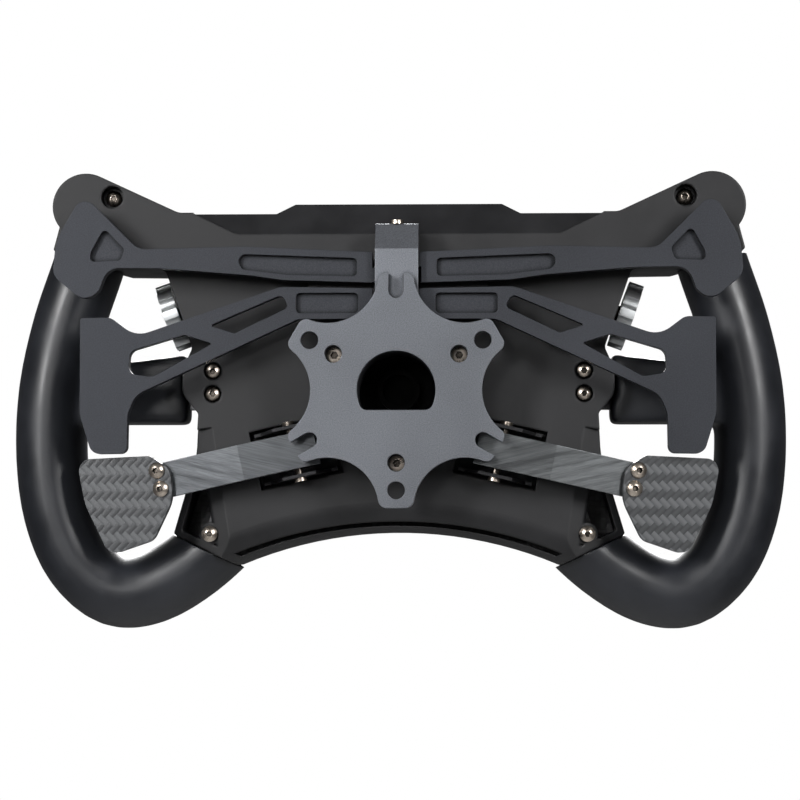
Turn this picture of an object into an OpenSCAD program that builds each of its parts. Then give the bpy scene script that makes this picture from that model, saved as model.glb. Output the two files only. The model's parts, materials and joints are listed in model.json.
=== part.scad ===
// Sim-racing wheel for GT cars, seen here from behind: two rubber grips on an aluminium core frame,
// a hollow shell with its electronics, a six-armed hub plate, four gear paddles and two clutch levers.
// X runs to the driver's left, Y from the hub plate's rear face towards the driver, Z up.
// The origin is the hub's centre on the rear face of the hub plate.

/* [Hub] */
// Thickness of the hub plate
plate_t = 5; // [4:0.5:8]
// Circle of the outer mounting holes and slots
pcd_outer = 70; // [68:0.5:72]
// Circle of the inner holes, which reach the hub's own screws
pcd_inner = 50.8; // [49:0.1:52]
// Radius of the holes in the hub plate
plate_hole_r = 3.1; // [2.8:0.05:3.3]
// Width of the three open slots in the hub plate
slot_w = 5.5; // [5:0.1:5.6]
// Distance from the hub's centre to the flat end of each arm
arm_reach = 41.2; // [40:0.2:46]
// Radius of the hollow between two arms
valley_r = 18; // [14:0.5:18.5]
// Distance from the hub's centre to the centre of each hollow
valley_at = 48; // [46:0.5:50]
// Radius of the D-shaped opening for the plug
d_open_r = 13.8; // [10:0.2:15]
// Height of the D's flat below the hub's centre
d_flat = 7; // [5:0.5:9]
// Depth from the hub plate to the shell
spacer_d = 17; // [15:0.5:24]
// Outer radius of the spacer
spacer_r = 29; // [28.5:0.5:31]

/* [Shell] */
// Half width of the shell along its top edge, up to the horns
top_half_w = 79; // [72:1:84]
// Height of the top edge above the hub's centre
top_h = 69; // [66:1:76]
// Depth of the shell behind the faceplate
shell_d = 28; // [26:1:36]
// Wall of the shell
wall = 2.5; // [2:0.1:3]
// Thickness of the faceplate
face_t = 3; // [2:0.5:4]
// Radius of the round horn at each top corner
horn_r = 12; // [10:0.5:14]
// Distance from the middle to the centre of each horn
horn_x = 112.5; // [108:0.5:118]
// Height of the horn's centre
horn_z = 67.6; // [65:0.1:70]
// Radius of the arched bottom edge
arch_r = 150; // [130:5:200]
// Height of the arch's crown below the hub's centre
arch_z = 49.7; // [48.5:0.1:51]

/* [Grips] */
// Width of a grip across its length, seen from behind
grip_w = 26; // [22:0.5:28]
// Depth of a grip, front to back
grip_d = 30; // [24:1:36]
// Thickness of the core frame
core_t = 6; // [4:0.5:8]
// Width of the core frame's bar inside a grip
core_bar_w = 9; // [6:0.5:12]

/* [Gear paddles] */
// Thickness of the paddle plates
paddle_t = 5; // [4:0.5:6]
// Depth of the milled recesses
recess_d = 2; // [0.5:0.1:2.5]
// Radius of the pin that the paddles turn on
paddle_pin_r = 1.5; // [1:0.1:1.8]
// Radius of a paddle's magnet
magnet_r = 3; // [2:0.25:3.5]

/* [Clutch levers] */
// Thickness of the lever arms
lever_t = 3; // [2:0.25:3.5]
// Width of the lever arms
lever_w = 12.6; // [10:0.2:13]
// Tilt of the lever arms below the horizontal
lever_tilt = 12.5; // [8:0.5:14]
// Bend of the outer stretch towards the driver
lever_bend = 10; // [6:1:12]
// Distance from the middle to the lever's pin
lever_x = 36.5; // [35:0.5:39]
// Height of the pin below the hub's centre
lever_z = 21; // [20:0.5:23]
// Radius of the lever's pin
lever_pin_r = 1.5; // [1:0.1:2]
// Thickness of the carbon finger pad
pad_t = 2; // [1:0.25:2.5]

/* [Controls] */
// Radius of a thumb wheel
thumb_r = 12.4; // [10:0.2:13]
// Thickness of a thumb wheel
thumb_t = 5.5; // [4:0.5:6]
// Radius of a push button
button_r = 5; // [4:0.25:6]
// Travel of a push button
button_travel = 1.5; // [1:0.1:1.5]
// Radius of a rotary knob
knob_r = 9; // [7:0.5:11]
// Height of a rotary knob
knob_h = 14; // [10:1:18]

/* [Hidden] */
$fn = 48;
eps = 0.01;             // overlap of a cut past the face that it opens
run = 0.05;             // running clearance of a pin or shaft, on the radius
seat = 0.1;             // gap round a part that is laid into a pocket
mm3_screw = 1.5;        // radius of an M3 screw
mm4_screw = 2;          // radius of an M4 screw
button_head_r = 2.85;   // radius of an M3 button head
button_head_h = 1.65;   // height of an M3 button head
button_dome_r = 3.75;   // radius of the dome on that head
hex_r = 1.15;           // radius over the corners of its hex socket
hex_d = 1.1;            // depth of that socket
head_r = 2.75;          // radius of a low cylinder head
head_h = 2.7;           // height of a low cylinder head

// Layers from back to front
spacer_y = plate_t;
shell_y = plate_t + spacer_d;
inner_y = shell_y + wall;
face_y = shell_y + shell_d;
front_y = face_y + face_t;
core_y = shell_y + 14;
board_y = core_y + core_t + 1.5;
board_t = 1.6;
grip_y = shell_y + 18;
paddle_y = plate_t + 3.5;
paddle_axis_y = paddle_y + 3.5;
knuckle_r = 3.5;
lever_y = plate_t + 3;
lever_pin_y = lever_y + lever_t + 4;

// Colours
anodised = [0.40, 0.41, 0.43];
charcoal = [0.22, 0.22, 0.23];
black_shell = [0.13, 0.13, 0.14];
rubber = [0.10, 0.11, 0.13];
steel = [0.75, 0.72, 0.68];
silver = [0.80, 0.82, 0.83];
carbon = [0.35, 0.36, 0.37];

// ---- Helpers ----

function unit(v) = v / norm(v);

// Points of one corner b between its neighbours a and c, rounded to radius r
function corner(a, b, c, r) = r == 0 ? [b] :
    let(u = unit(a - b), w = unit(c - b), half = acos(u * w) / 2, run_in = r / tan(half),
        centre = b + unit(u + w) * (r / sin(half)),
        p = b + u * run_in - centre, q = b + w * run_in - centre,
        from = atan2(p[1], p[0]), sweep = (atan2(q[1], q[0]) - from + 540) % 360 - 180,
        n = max(2, ceil(abs(sweep) / 9)))
    [for (k = [0:n]) centre + r * [cos(from + sweep * k / n), sin(from + sweep * k / n)]];

// Outline through corners given as [x, z, radius]
function rounded(corners) = [for (i = [0:len(corners) - 1])
    let(n = len(corners), a = corners[(i + n - 1) % n], b = corners[i], c = corners[(i + 1) % n])
    each corner([a[0], a[1]], [b[0], b[1]], [c[0], c[1]], b[2])];

// Extrudes an outline drawn in X and Z from depth y0 to depth y1
module slab(y0, y1) {
    translate([0, y1, 0]) rotate([90, 0, 0]) linear_extrude(y1 - y0) children();
}

// Cylinder along Y
module post(x, z, y0, y1, r) {
    translate([x, y1, z]) rotate([90, 0, 0]) cylinder(r = r, h = y1 - y0);
}

// Cylinder along Y at a distance and an angle round the hub's centre
module ring_post(distance, angle, y0, y1, r) {
    post(distance * cos(angle), distance * sin(angle), y0, y1, r);
}

// Cone along Y
module cone_y(x, z, y0, y1, r0, r1) {
    translate([x, y1, z]) rotate([90, 0, 0]) cylinder(r1 = r1, r2 = r0, h = y1 - y0);
}

// The driver's left is side 1, the right is side -1
module on_side(side) {
    if (side == 1) children();
    else mirror([1, 0, 0]) children();
}

// Button-head screw with a hex socket, its head at depth y, its shank running to y_end
module rear_screw(x, z, y, y_end, shank_r = mm3_screw) {
    difference() {
        union() {
            intersection() {
                post(x, z, y, y + button_head_h, button_head_r);
                translate([x, y + button_dome_r - 0.15, z]) sphere(r = button_dome_r);
            }
            post(x, z, y + button_head_h - eps, y_end, shank_r);
        }
        post(x, z, y - 1, y + hex_d, hex_r, $fn = 6);
    }
}

// Screw driven from the front, its head at depth y
module front_screw(x, z, y, y_end) {
    difference() {
        union() {
            post(x, z, y - button_head_h, y, button_head_r);
            post(x, z, y_end, y - button_head_h + eps, mm3_screw);
        }
        post(x, z, y - hex_d, y + 1, hex_r, $fn = 6);
    }
}

// ---- Hub ----

// Corner circle of an arm: it touches the arm's flat end and the hollow beside it
arm_corner_r = 3;
valley = [valley_at * sin(30), valley_at * cos(30)];
arm_corner_z = arm_reach - arm_corner_r;
arm_corner_x = valley[0] - sqrt(pow(valley_r + arm_corner_r, 2) - pow(valley[1] - arm_corner_z, 2));
arm_touch = valley + valley_r * unit([arm_corner_x, arm_corner_z] - valley);
slot_angles = [90, 210, 330];
hole_angles = [30, 150, 270];
inner_at = pcd_inner / 2;
plate_screw_at = 20.5;  // distance of the hub plate's own screws from the centre
plate_screw_angles = [60, 120, 240, 300];
plate_screw_d = 3.5;    // how far those screws reach into the plate
counterbore_d = 3.2;    // depth of the recess round their heads
spacer_top = 21.5;      // height of the flat along the spacer's top
hub_head_y = plate_t + 2;       // rear face of the hub screws' heads
hub_head_h = 4;
hub_hex_r = 1.45;
hub_hex_d = 1.6;

function turn(p, angle) = [p[0] * cos(angle) - p[1] * sin(angle), p[0] * sin(angle) + p[1] * cos(angle)];

// Points of an arc about a centre, in n steps between two angles
function arc(centre, r, from, to, n) = [for (k = [0:n])
    let(a = from + (to - from) * k / n) centre + r * [cos(a), sin(a)]];

// One arm with its two rounded corners, and the hollow on its left without the hollow's ends
corner_from = atan2(valley[1] - arm_corner_z, valley[0] - arm_corner_x);
valley_left = [-valley[0], valley[1]];
valley_from = atan2(arm_touch[1] - valley[1], valley[0] - arm_touch[0]);
hollow = arc(valley_left, valley_r, valley_from, -120 - valley_from, 24);
arm_points = concat(
    arc([arm_corner_x, arm_corner_z], arm_corner_r, corner_from, 90, 8),
    arc([-arm_corner_x, arm_corner_z], arm_corner_r, 90, 180 - corner_from, 8),
    [for (k = [1:23]) hollow[k]]);

module star_outline() {
    polygon([for (k = [0:5], p = arm_points) turn(p, 60 * k)]);
}

// D shape whose two lower corners are rounded
d_corner_r = 3;
d_corner = [sqrt(pow(d_open_r - d_corner_r, 2) - pow(d_flat - d_corner_r, 2)), d_corner_r - d_flat];
module d_opening() {
    from = atan2(d_corner[1], d_corner[0]);
    polygon(concat(
        arc([0, 0], d_open_r, from, 180 - from, 56),
        arc([-d_corner[0], d_corner[1]], d_corner_r, 180 - from, 270, 8),
        arc(d_corner, d_corner_r, 270, 360 + from, 8)));
}

module hub_plate() {
    color(anodised) difference() {
        slab(0, plate_t) star_outline();
        slab(-1, plate_t + 1) d_opening();
        for (a = hole_angles, pcd = [pcd_outer, pcd_inner])
            ring_post(pcd / 2, a, -1, plate_t + 1, plate_hole_r);
        for (a = slot_angles) rotate([0, -a, 0]) {
            post(pcd_outer / 2, 0, -1, plate_t + 1, slot_w / 2);
            translate([pcd_outer / 2, -1, -slot_w / 2]) cube([arm_reach, plate_t + 2, slot_w]);
        }
        for (a = plate_screw_angles)
            ring_post(plate_screw_at, a, plate_t - plate_screw_d, plate_t + 1, mm3_screw);
    }
}

module hub_spacer() {
    color(charcoal) difference() {
        slab(spacer_y, shell_y) difference() {
            circle(r = spacer_r, $fn = 96);
            d_opening();
            translate([-spacer_r, spacer_top]) square(2 * spacer_r);
        }
        for (a = hole_angles) {
            ring_post(inner_at, a, spacer_y - 1, hub_head_y + hub_head_h, head_r + run);
            ring_post(inner_at, a, spacer_y - 1, shell_y + 1, mm4_screw + run);
        }
        for (a = plate_screw_angles) {
            ring_post(plate_screw_at, a, spacer_y - 1, shell_y + 1, mm3_screw + run);
            ring_post(plate_screw_at, a, shell_y - counterbore_d, shell_y + 1, head_r + run);
        }
        translate([-spine_w / 2 - seat, spacer_y - 1, spine_foot])
            cube([spine_w + 2 * seat, 1 + spine_t, spacer_r]);
        for (x = [-spine_screw_x, spine_screw_x])
            post(x, spine_screw_z, spacer_y, shell_y - 9, spine_screw_r + run);
    }
}

module plate_screws() {
    color(steel) for (a = plate_screw_angles) {
        ring_post(plate_screw_at, a, plate_t - plate_screw_d + 0.5, shell_y - 0.5, mm3_screw);
        ring_post(plate_screw_at, a, shell_y - counterbore_d, shell_y - 0.3, head_r);
    }
}

module hub_screws() {
    color(steel) for (a = hole_angles) difference() {
        union() {
            ring_post(inner_at, a, hub_head_y, hub_head_y + hub_head_h, head_r);
            ring_post(inner_at, a, hub_head_y + hub_head_h - eps, core_y + core_t - 1, mm4_screw);
        }
        ring_post(inner_at, a, hub_head_y - 1, hub_head_y + hub_hex_d, hub_hex_r, $fn = 6);
    }
}

// ---- Paddle mounting ----

spine_w = 15.2;
spine_t = 3;
spine_foot = 17;
spine_flat = 50.2;      // where the flat stretch ends and the slope starts
spine_top = 59.7;
spine_depth = 10.5;     // depth of the slope's upper end
spine_screw_x = 4.8;
spine_screw_z = spine_foot + 2.4;
spine_screw_r = 1.15;
top_screw_y = plate_t + 8;
top_head_r = 2.4;
thread_d = 3;           // length of the top screw's thread
pin_low = 22.4;
pin_high = 53.5;
block_screw_z = 40;     // height of the screw that holds the block, behind the spine
block_head_y = shell_y - 5.3;

module paddle_spine() {
    y = plate_t;
    color(anodised) difference() {
        translate([-spine_w / 2, 0, 0]) rotate([90, 0, 90]) linear_extrude(spine_w)
            polygon(rounded([[y, spine_foot, 0], [y, spine_flat, 0], [y + 6, spine_top, 1],
                [y + spine_depth, spine_top, 0.5], [y + spine_depth, spine_flat + 0.3, 0],
                [y + spine_t, spine_flat + 0.3, 0], [y + spine_t, spine_foot, 0]]));
        translate([0, paddle_axis_y, spine_flat - 1])
            cylinder(r = paddle_pin_r, h = pin_high - spine_flat + 1);
        translate([0, top_screw_y, spine_top - thread_d]) cylinder(r = mm3_screw, h = thread_d + 1);
        for (x = [-spine_screw_x, spine_screw_x]) {
            post(x, spine_screw_z, y - 1, y + spine_t + 1, spine_screw_r + run);
            cone_y(x, spine_screw_z, y - eps, y + 1.4, 2.3, spine_screw_r + run);
        }
    }
}

module spine_screws() {
    y = plate_t;
    color(steel) {
        difference() {
            union() {
                translate([0, top_screw_y, spine_top]) cylinder(r = top_head_r, h = 1.4);
                translate([0, top_screw_y, spine_top - thread_d])
                    cylinder(r = mm3_screw, h = thread_d + eps);
            }
            translate([0, top_screw_y, spine_top + 0.4]) cylinder(r = hex_r, h = 2, $fn = 6);
        }
        for (x = [-spine_screw_x, spine_screw_x]) {
            post(x, spine_screw_z, y + 0.2, y + 7, spine_screw_r);
            cone_y(x, spine_screw_z, y + 0.05, y + 1.25, 2.2, spine_screw_r);
        }
        post(0, block_screw_z, block_head_y, block_head_y + head_h, head_r);
        post(0, block_screw_z, block_head_y + head_h - eps, core_y + core_t - 1, mm3_screw);
    }
}

block_half_w = 32;
block_low = 27;         // height of the block's lower edge
block_h = 20.5;
block_y = shell_y - 4.5;
stem_half_w = 7;        // half width of the stem behind the spine
stem_y = shell_y - 5.5;
foot_half_w = 3.6;      // half width of the foot that carries the pin's lower end
foot_h = 3.2;
magnet_d = 1.5;         // depth of the magnets in the block
magnet_x = 25;
magnet_rows = [32, 43.5];       // heights of the mid and upper paddles' magnets

module paddle_block() {
    color(charcoal) difference() {
        union() {
            translate([-block_half_w, block_y, block_low])
                cube([2 * block_half_w, shell_y - block_y, block_h]);
            translate([-stem_half_w, stem_y, pin_low - 0.6]) cube([2 * stem_half_w, shell_y - stem_y, 36]);
            translate([-foot_half_w, paddle_y, pin_low - 0.6])
                cube([2 * foot_half_w, shell_y - paddle_y, foot_h]);
        }
        translate([0, paddle_axis_y, pin_low]) cylinder(r = paddle_pin_r, h = 10);
        for (x = [-magnet_x, magnet_x], z = magnet_rows)
            post(x, z, block_y - 1, block_y + magnet_d, magnet_r + seat);
        post(0, block_screw_z, stem_y - 1, shell_y + 1, mm3_screw + run);
        post(0, block_screw_z, stem_y - 1, block_head_y + head_h, head_r + run);
    }
}

module paddle_pin() {
    color(steel) translate([0, paddle_axis_y, pin_low]) cylinder(r = paddle_pin_r, h = pin_high - pin_low);
}

module block_magnets() {
    color(silver) for (x = [-magnet_x, magnet_x], z = magnet_rows)
        post(x, z, block_y - 0.6, block_y + magnet_d, magnet_r);
}

// ---- Shell, faceplate and core frame ----

ledge_z = 65.3;         // height of the top edge beside its raised middle
ear_out = [77.4, 0];    // where the ear beside the spoke is widest
horn_turn = atan2(horn_z - ledge_z, horn_x - top_half_w);
horn_gap = norm([horn_x - top_half_w, horn_z - ledge_z]);
horn_rise = horn_turn + asin(horn_r / horn_gap);
side_top = [83.6, 44.6];
side_low = [81.3, -50.2];
seam_out = [57.7, -61.4];
horn_foot = [124.2, 51.6];      // outer and inner end of the seam between horn and grip
ear_foot = [99.4, 44.8];
seam_gap = 0.3;
low_cut = -arch_z - 20;         // lower end of the outlines before the arch is cut away
side_slope = atan2(side_top[0] - 73.4, side_top[1] - 15.7);

// Corners of the shell's left half, seen from behind, from the top edge round to the bottom
outline_half = rounded(concat(
    [[0, top_h, 0], [37.3, top_h, 1.5], [44, ledge_z, 1.5], [top_half_w, ledge_z, 6]],
    [for (p = arc([horn_x, horn_z], horn_r, 90 + horn_rise, -38, 24)) [p[0], p[1], 0]],
    [[horn_foot[0], horn_foot[1], 1], [ear_foot[0], ear_foot[1], 1], [side_top[0], side_top[1], 2.5],
        [73.8, 16.5, 3], [ear_out[0] - 0.2, 9, 4], [ear_out[0], ear_out[1], 6], [71.6, -7, 2],
        [72.4, -21.6, 20], [side_low[0], side_low[1], 1],
        [seam_out[0], seam_out[1], 0.5], [seam_out[0] - 8, low_cut, 0], [0, low_cut, 0]]));

// Both halves of a closed outline whose first and last point lie in the middle
function both_halves(half) = concat(half, [for (i = [len(half) - 2:-1:1]) [-half[i][0], half[i][1]]]);

module full_outline() {
    difference() {
        polygon(both_halves(outline_half));
        translate([0, -arch_z - arch_r]) circle(r = arch_r, $fn = 180);
    }
}

// The cavity's corners lie one wall inside the shell's
cavity_half = let(w = wall) rounded([
    [0, top_h - w, 0], [36.4, top_h - w, 0.5], [43.2, ledge_z - w, 1.5], [top_half_w + 1, ledge_z - w, 4],
    [horn_x - 6, horn_z + 9.9 - w, 0], [horn_x + 5, horn_z + 7.5 - w, 3], [120.8, 54, 2],
    [ear_foot[0] - 0.2, ear_foot[1] + w, 1], [side_top[0] - 1.6, side_top[1] + w, 1],
    [73.7 - w, 16.6, 2], [77.1 - w, 9, 2], [77.3 - w, 0.4, 4], [71.5 - w, -6.6, 1], [72.3 - w, -21.6, 18],
    [80.7 - w, -49, 1], [59.1 - w, -58, 0], [50, low_cut, 0], [0, low_cut, 0]]);

module full_cavity() {
    difference() {
        polygon(both_halves(cavity_half));
        translate([0, -arch_z - arch_r]) circle(r = arch_r + wall, $fn = 180);
    }
}

// What the sloping band along the top takes away: everything behind a plane that starts at band_z
band_z = 57.3;
band_slope = 32;        // degrees that the band leans forward
band_half_w = 57.5;
band_end = 77;          // where the skin behind the band ends on each side
band_h = 30;            // height of the cut, well past the shell's top
reach = 100;            // half length of a cut that runs across the whole shell
module band_cut() {
    intersection() {
        slab(0, face_y) polygon([
            [-band_half_w, band_z], [band_half_w, band_z], [band_half_w + 16, 65], [80, 80],
            [-80, 80], [-band_half_w - 16, 65]]);
        translate([-reach, 0, 0]) rotate([90, 0, 90]) linear_extrude(2 * reach) polygon([
            [shell_y, band_z], [shell_y + band_h * tan(band_slope), band_z + band_h],
            [0, band_z + band_h], [0, band_z]]);
    }
}

// Bevel down each lower side of the shell
bevel_slope = 24;
bevel_lean = 9;
module side_bevel() {
    on_both() translate([66.8, shell_y, -10]) rotate([0, bevel_lean, 0]) rotate([0, 0, bevel_slope])
        translate([0, -30, -60]) cube([40, 30, 58]);
}

module on_both() {
    children();
    mirror([1, 0, 0]) children();
}

// Large rounding between the rear face and the arched bottom
module arch_round() {
    r = 11;
    translate([0, 0, -arch_z - arch_r]) rotate([-90, 0, 0]) rotate_extrude($fn = 180) difference() {
        translate([arch_r - 1, shell_y - 1]) square([r + 1, r + 1]);
        translate([arch_r + r, shell_y + r]) circle(r = r, $fn = 72);
    }
}

shell_screw_spots = [[66.5, 8.2], [66.5, 0], [67.5, -50.1], [103, 71]];
horn_screw_d = 3.3;     // depth of the horn screws' heads in their holes
horn_hole_r = 4;
boss_r = 4;             // radius of the bosses round the shell's screws
front_screw_spots = [[112, 69], [60, -50], [66, 54], [64, -14]];
pocket_u = 15;          // half length of the pocket round a lever's bracket
pocket_v = 10.6;        // half width of that pocket
pocket_d = 8;

module lever_frame(side) {
    on_side(side) translate([lever_x, 0, -lever_z]) rotate([0, lever_tilt, 0]) children();
}

// Pocket round a lever's bracket, grown by a margin
module pocket_box(side, margin) {
    u = pocket_u + margin;
    v = pocket_v + margin;
    lever_frame(side) translate([-u, shell_y - 1, -v]) cube([2 * u, pocket_d + 1 + margin, 2 * v]);
}

module thumb_frame(side) {
    on_side(side) translate([thumb_at[0], thumb_y, thumb_at[1]]) rotate([0, 90 + side_slope, 0]) children();
}

thumb_gap = 1;          // gap between a thumb wheel and the shell's side
thumb_shaft_r = 3;
thumb_y = grip_y - 2;
side_mid = [78.6, 30.2];
thumb_at = side_mid + (thumb_gap + thumb_t / 2) * [cos(side_slope), -sin(side_slope)];

module rear_shell() {
    color(black_shell) difference() {
        union() {
            difference() {
                slab(shell_y, face_y) full_outline();
                slab(inner_y, face_y + 1) full_cavity();
            }
            intersection() {
                slab(shell_y, inner_y + 9) full_cavity();
                union() {
                    shell_band();
                    for (side = [-1, 1]) pocket_box(side, wall);
                }
            }
            for (s = [-1, 1], p = shell_screw_spots) post(s * p[0], p[1], shell_y + 2, core_y, boss_r);
        }
        band_cut();
        side_bevel();
        arch_round();
        slab(shell_y - 1, inner_y + 1) d_opening();
        for (s = [-1, 1], p = shell_screw_spots) {
            horn = p[1] > band_z;
            deep = horn ? horn_screw_d + button_head_h : button_head_h;
            r = horn ? horn_hole_r : button_head_r + 0.35;
            post(s * p[0], p[1], shell_y - 1, shell_y + deep + seat, r);
            post(s * p[0], p[1], shell_y, core_y + 1, mm3_screw + run);
        }
        slab(core_y - seat, core_y + core_t + seat) {
            core_outline(seat);
            mirror([1, 0]) core_outline(seat);
        }
        for (a = hole_angles) ring_post(inner_at, a, shell_y - 1, inner_y + 1, mm4_screw + run);
        post(0, block_screw_z, shell_y - 1, inner_y + 1, mm3_screw + run);
        for (side = [-1, 1]) {
            pocket_box(side, 0);
            thumb_frame(side) translate([0, 0, -12]) cylinder(r = thumb_shaft_r + 0.4, h = 12);
        }
    }
}

// Inner skin that follows the sloping band, so that the wall stays whole behind it
module shell_band() {
    skin = shell_y + 1.15 * wall;
    difference() {
        slab(shell_y, inner_y + 9) full_cavity();
        translate([-reach, 0, 0]) rotate([90, 0, 90]) linear_extrude(2 * reach) polygon([
            [skin, 0], [skin, band_z], [skin + band_h * tan(band_slope), band_z + band_h],
            [front_y, band_z + band_h], [front_y, 0]]);
        translate([-reach, shell_y - 1, -reach]) cube([2 * reach, 50, reach + band_z - 4]);
        on_both() translate([band_end, shell_y - 1, 0]) cube([reach, 50, reach]);
    }
}

module faceplate() {
    color(carbon) difference() {
        slab(face_y, front_y) full_outline();
        for (s = [-1, 1]) {
            for (p = button_spots) post(s * p[0], p[1], face_y - 1, front_y + 1, button_r + 0.2);
            for (p = front_screw_spots) post(s * p[0], p[1], face_y - 1, front_y + 1, mm3_screw + run);
            post(s * knob_at[0], knob_at[1], face_y - 1, front_y + 1, bushing_r + run);
        }
    }
}

// Middle line of a grip, from the horn down and round to the shell's lower corner
grip_way = [[108.6, 68], [113.6, 49], [121.2, 26], [126.2, 2], [127, -22], [124, -43], [116.5, -60],
    [103.8, -70.6], [89.5, -69.6], [74, -60.4], [60, -47.5], [50, -37]];

function way_point(i, t) =
    let(a = grip_way[i - 1], b = grip_way[i], c = grip_way[i + 1], d = grip_way[i + 2])
    0.5 * (2 * b + (c - a) * t + (2 * a - 5 * b + 4 * c - d) * t * t + (3 * b - a - 3 * c + d) * t * t * t);

way_steps = 4;
way = [for (i = [1:len(grip_way) - 3], k = [0:way_steps - 1]) way_point(i, k / way_steps)];

function way_normal(i) =
    let(a = way[max(0, i - 1)], b = way[min(len(way) - 1, i + 1)], t = unit(b - a)) [-t[1], t[0]];

module core_bar(gap) {
    half = core_bar_w / 2 + gap;
    polygon(concat(
        [for (i = [0:len(way) - 1]) way[i] + half * way_normal(i)],
        [for (i = [len(way) - 1:-1:0]) way[i] - half * way_normal(i)]));
}

grip_sides = 20;
module grip_sweep() {
    points = [for (i = [0:len(way) - 1], k = [0:grip_sides - 1])
        let(a = 360 * k / grip_sides, n = way_normal(i) * grip_w / 2 * cos(a))
        [way[i][0] + n[0], grip_y + grip_d / 2 * sin(a), way[i][1] + n[1]]];
    last = (len(way) - 1) * grip_sides;
    polyhedron(points, concat(
        [[for (k = [grip_sides - 1:-1:0]) k]],
        [for (i = [0:len(way) - 2], k = [0:grip_sides - 1])
            [i * grip_sides + k, i * grip_sides + (k + 1) % grip_sides,
             (i + 1) * grip_sides + (k + 1) % grip_sides, (i + 1) * grip_sides + k]],
        [[for (k = [0:grip_sides - 1]) last + k]]));
}

spoke_low = -10.2;
module spoke_outline() {
    polygon([[74, spoke_low], [122, spoke_low], [122, 11.5], [97, 12.4], [74, 15]]);
}

module grip(side) {
    color(rubber) on_side(side) difference() {
        union() {
            difference() {
                grip_sweep();
                slab(grip_y - grip_d, grip_y + grip_d) {
                    beyond_seam(seam_out, side_low, [[80, -20], [10, -20]]);
                    beyond_seam(ear_foot, horn_foot, [[140, 100], [90, 100]]);
                }
            }
            slab(shell_y + 8, face_y - 1) difference() {
                spoke_outline();
                spoke_gap();
            }
        }
        slab(core_y, core_y + core_t) core_outline();
    }
}

// All that lies on the shell's side of a seam, and a little more for the gap
module beyond_seam(from, to, rest) {
    along = unit(to - from);
    away = seam_gap * [along[1], -along[0]];
    polygon(concat([from - 28 * along + away, to + 28 * along + away], rest));
}

// The spoke stops short of the shell's ear
module spoke_gap() {
    ear = ear_out[0] + seam_gap;
    translate([0, -30]) square([ear - 1.7, 60]);
    polygon([[70, -9], [ear, 0], [ear, 10], [70, 20]]);
}

// Outline of the core frame's bars in one grip, and of their slots with a gap
module core_outline(gap = 0) {
    core_bar(gap);
    translate([60, -5 - gap]) square([66 + gap, 15 + 2 * gap]);
}

// Corners of the core frame's plate on the left, from the top down, clear of the shell's wall
core_half = [[0, 63.3 - wall], [76, 63.3 - wall], [100, 74.1 - wall], [104, 75.5 - wall],
    [113, 75.3 - wall], [116, 73.5 - wall], [115, 60], [78, 50], [64, 42], [67.5 - wall, 22],
    [69.5 - wall, 14], [68.5 - wall, -36], [73.5 - wall, -51.6], [60, -53], [40, -42], [0, -42]];

module core_frame() {
    color(anodised) difference() {
        union() {
            slab(core_y, core_y + core_t) {
                polygon(both_halves(core_half));
                core_outline();
                mirror([1, 0]) core_outline();
            }
            slab(inner_y, core_y + eps) circle(r = spacer_r, $fn = 96);
        }
        for (side = [-1, 1]) pocket_box(side, wall + seat);
        slab(inner_y - 1, core_y + core_t + 1) circle(r = d_open_r + 1, $fn = 96);
        slab(core_y - 1, core_y + core_t + 1) on_both_flat() {
            polygon(rounded([[34, 30, 3], [56, 30, 3], [56, 50, 3], [14, 50, 3], [14, 36, 3]]));
            polygon(rounded([[36, -6, 3], [56, -6, 3], [56, -34, 3], [30, -34, 3]]));
        }
        for (a = hole_angles) ring_post(inner_at, a, inner_y - 1, core_y + core_t + 1, mm4_screw + run);
        for (s = [-1, 1], p = concat(shell_screw_spots, front_screw_spots))
            post(s * p[0], p[1], core_y - 1, core_y + core_t + 1, mm3_screw + run);
        post(0, block_screw_z, core_y - 1, core_y + core_t + 1, mm3_screw + run);
    }
}

module on_both_flat() {
    children();
    mirror([1, 0]) children(0);
    mirror([1, 0]) children(1);
}

module shell_screws() {
    color(steel) for (s = [-1, 1], p = shell_screw_spots)
        rear_screw(s * p[0], p[1], shell_y + (p[1] > band_z ? horn_screw_d : 0), core_y + core_t - 1);
}

module front_screws() {
    color(steel) for (s = [-1, 1], p = front_screw_spots)
        front_screw(s * p[0], p[1], front_y + button_head_h, core_y + 1);
}

// ---- Gear paddles ----

root_x = 8.6;           // where a paddle comes out from under the spine
upper_root = [38.5, 49.4];
mid_root = [25.7, 36.5];
knuckle_gap = 0.4;
pocket_magnet_d = 2;    // depth of the magnet in a paddle

// Tongue from the paddle's root to its knuckle on the pin, between heights z0 and z1
module knuckle(z0, z1) {
    translate([0, paddle_axis_y, z0]) cylinder(r = knuckle_r, h = z1 - z0);
    translate([0, paddle_y, z0]) cube([root_x + 1, paddle_t, z1 - z0]);
}

module upper_outline() {
    polygon(rounded([
        [root_x, upper_root[0], 0], [40.3, 39.5, 20], [52, 41.2, 20], [84.1, 43.8, 20], [102.6, 44, 6],
        [105.6, 36, 3], [110.4, 31.6, 5.5], [122.2, 41.4, 6], [121, 54, 20], [111.6, 70.4, 4.2],
        [91.8, 50.6, 7], [55, 51.5, 20], [root_x, upper_root[1], 0]]));
}

module mid_outline() {
    polygon(rounded([
        [root_x, mid_root[0], 0], [35, 25.6, 6], [92.6, -1.2, 8], [95.2, -8, 6], [95.4, -21.8, 2.5],
        [107.8, -22, 4], [112.2, -8, 14], [112.2, 26.2, 1], [101.4, 26.4, 5], [92.4, 19.6, 9],
        [41.2, 37.1, 8], [root_x, mid_root[1], 0]]));
}

module magnet_pocket(row) {
    back = paddle_y + paddle_t;
    post(magnet_x, magnet_rows[row], back - pocket_magnet_d, back + 1, magnet_r + seat);
}

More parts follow.
